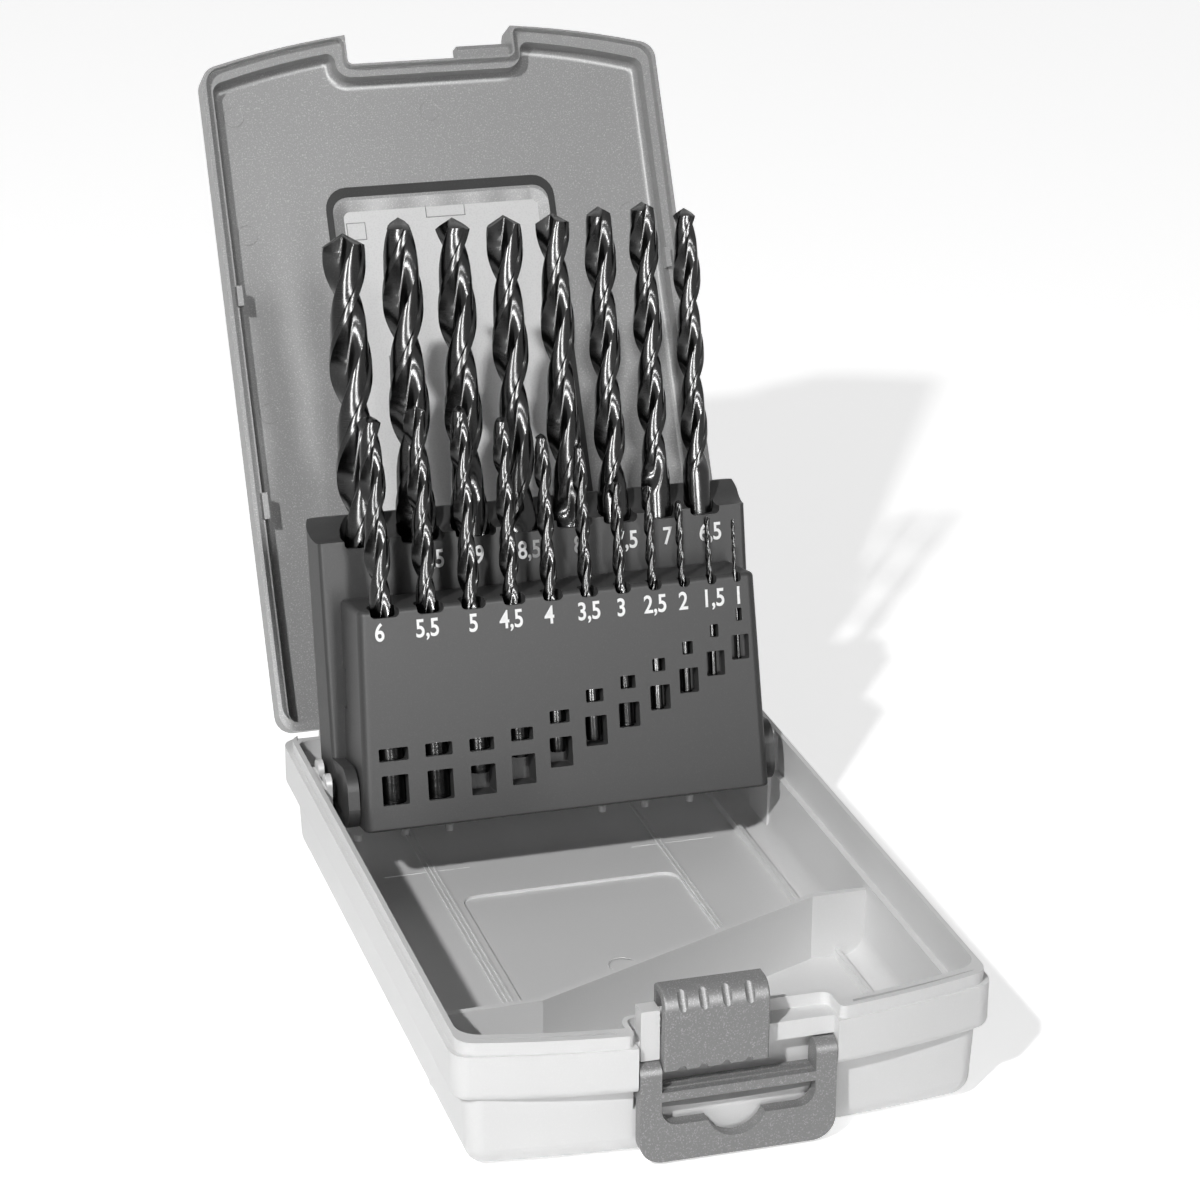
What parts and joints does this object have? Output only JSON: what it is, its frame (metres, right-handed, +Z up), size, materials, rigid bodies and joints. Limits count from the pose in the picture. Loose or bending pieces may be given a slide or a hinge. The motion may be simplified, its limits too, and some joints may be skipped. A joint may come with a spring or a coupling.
{
  "type": "drill bit case",
  "caption": "Hinged plastic case with sliding latch and hanging loop; a stepped two-row holder tilts up with the lid and carries graded twist drill bits.",
  "frame": {"origin": "on the flat underside of the tray, on the centre line, 83.5 mm in front of the rear wall", "axes": "+Z up; -Y is the latch side; +X to the right seen from the latch side"},
  "size_m": [0.117, 0.2604, 0.1805],
  "materials": {
    "light_grey_plastic": "fine matte moulded",
    "speckled_grey_plastic": "satin with a fine speckle",
    "label_plastic": "smooth matte",
    "black_plastic": "fine satin texture",
    "latch_plastic": "satin with a fine speckle",
    "tool_steel": "ground and rolled high speed steel",
    "pin_steel": "drawn wire"
  },
  "bodies": {
    "tray": {"base_tray": "light_grey_plastic", "hinge_pin_left": "pin_steel", "hinge_pin_right": "pin_steel"},
    "lid": {"lid": "speckled_grey_plastic", "lid_label_plate": "label_plastic"},
    "holder": {"holder_front_block": "black_plastic", "holder_rear_block": "black_plastic"},
    "latch": {"slide_latch": "latch_plastic"},
    "hanger": {"hanger": "latch_plastic"},
    "bit_6mm": {"drill_bit_6mm": "tool_steel"},
    "bit_5_5mm": {"drill_bit_5_5mm": "tool_steel"},
    "bit_5mm": {"drill_bit_5mm": "tool_steel"},
    "bit_4_5mm": {"drill_bit_4_5mm": "tool_steel"},
    "bit_4mm": {"drill_bit_4mm": "tool_steel"},
    "bit_3_5mm": {"drill_bit_3_5mm": "tool_steel"},
    "bit_3mm": {"drill_bit_3mm": "tool_steel"},
    "bit_2_5mm": {"drill_bit_2_5mm": "tool_steel"},
    "bit_2mm": {"drill_bit_2mm": "tool_steel"},
    "bit_1_5mm": {"drill_bit_1_5mm": "tool_steel"},
    "bit_1mm": {"drill_bit_1mm": "tool_steel"},
    "bit_10mm": {"drill_bit_10mm": "tool_steel"},
    "bit_9_5mm": {"drill_bit_9_5mm": "tool_steel"},
    "bit_9mm": {"drill_bit_9mm": "tool_steel"},
    "bit_8_5mm": {"drill_bit_8_5mm": "tool_steel"},
    "bit_8mm": {"drill_bit_8mm": "tool_steel"},
    "bit_7_5mm": {"drill_bit_7_5mm": "tool_steel"},
    "bit_7mm": {"drill_bit_7mm": "tool_steel"},
    "bit_6_5mm": {"drill_bit_6_5mm": "tool_steel"}
  },
  "joints": [
    {"name": "lid_hinge", "type": "hinge", "parent": "tray", "child": "lid", "pos_m": [0, 0.084, 0.0283], "axis": [-1, 0, 0], "range_deg": [-118, 0]},
    {"name": "holder_tilt", "type": "hinge", "parent": "tray", "child": "holder", "pos_m": [0, 0.0545, 0.0258], "axis": [-1, 0, 0], "range_deg": [-101.63, 0]},
    {"name": "latch_slide", "type": "slide", "parent": "tray", "child": "latch", "axis": [-1, 0, 0], "range_m": [-0.01, 0]},
    {"name": "hanger_swing", "type": "hinge", "parent": "tray", "child": "hanger", "pos_m": [0, -0.0858, 0.0206], "axis": [-1, 0, 0], "range_deg": [0, 95]},
    {"name": "bit_6mm_lift", "type": "slide", "parent": "holder", "child": "bit_6mm", "axis": [0, 0.2016, 0.9795], "range_m": [0, 0.052]},
    {"name": "bit_5_5mm_lift", "type": "slide", "parent": "holder", "child": "bit_5_5mm", "axis": [0, 0.2016, 0.9795], "range_m": [0, 0.051]},
    {"name": "bit_5mm_lift", "type": "slide", "parent": "holder", "child": "bit_5mm", "axis": [0, 0.2016, 0.9795], "range_m": [0, 0.045]},
    {"name": "bit_4_5mm_lift", "type": "slide", "parent": "holder", "child": "bit_4_5mm", "axis": [0, 0.2016, 0.9795], "range_m": [0, 0.042]},
    {"name": "bit_4mm_lift", "type": "slide", "parent": "holder", "child": "bit_4mm", "axis": [0, 0.2016, 0.9795], "range_m": [0, 0.042]},
    {"name": "bit_3_5mm_lift", "type": "slide", "parent": "holder", "child": "bit_3_5mm", "axis": [0, 0.2016, 0.9795], "range_m": [0, 0.04]},
    {"name": "bit_3mm_lift", "type": "slide", "parent": "holder", "child": "bit_3mm", "axis": [0, 0.2016, 0.9795], "range_m": [0, 0.04]},
    {"name": "bit_2_5mm_lift", "type": "slide", "parent": "holder", "child": "bit_2_5mm", "axis": [0, 0.2016, 0.9795], "range_m": [0, 0.038]},
    {"name": "bit_2mm_lift", "type": "slide", "parent": "holder", "child": "bit_2mm", "axis": [0, 0.2016, 0.9795], "range_m": [0, 0.034]},
    {"name": "bit_1_5mm_lift", "type": "slide", "parent": "holder", "child": "bit_1_5mm", "axis": [0, 0.2016, 0.9795], "range_m": [0, 0.029]},
    {"name": "bit_1mm_lift", "type": "slide", "parent": "holder", "child": "bit_1mm", "axis": [0, 0.2016, 0.9795], "range_m": [0, 0.025]},
    {"name": "bit_10mm_lift", "type": "slide", "parent": "holder", "child": "bit_10mm", "axis": [0, 0.2016, 0.9795], "range_m": [0, 0.07]},
    {"name": "bit_9_5mm_lift", "type": "slide", "parent": "holder", "child": "bit_9_5mm", "axis": [0, 0.2016, 0.9795], "range_m": [0, 0.06]},
    {"name": "bit_9mm_lift", "type": "slide", "parent": "holder", "child": "bit_9mm", "axis": [0, 0.2016, 0.9795], "range_m": [0, 0.06]},
    {"name": "bit_8_5mm_lift", "type": "slide", "parent": "holder", "child": "bit_8_5mm", "axis": [0, 0.2016, 0.9795], "range_m": [0, 0.053]},
    {"name": "bit_8mm_lift", "type": "slide", "parent": "holder", "child": "bit_8mm", "axis": [0, 0.2016, 0.9795], "range_m": [0, 0.053]},
    {"name": "bit_7_5mm_lift", "type": "slide", "parent": "holder", "child": "bit_7_5mm", "axis": [0, 0.2016, 0.9795], "range_m": [0, 0.044]},
    {"name": "bit_7mm_lift", "type": "slide", "parent": "holder", "child": "bit_7mm", "axis": [0, 0.2016, 0.9795], "range_m": [0, 0.044]},
    {"name": "bit_6_5mm_lift", "type": "slide", "parent": "holder", "child": "bit_6_5mm", "axis": [0, 0.2016, 0.9795], "range_m": [0, 0.038]}
  ],
  "couplings": [
    {"joint": "holder_tilt", "follows": "lid_hinge", "ratio": 0.8612}
  ]
}
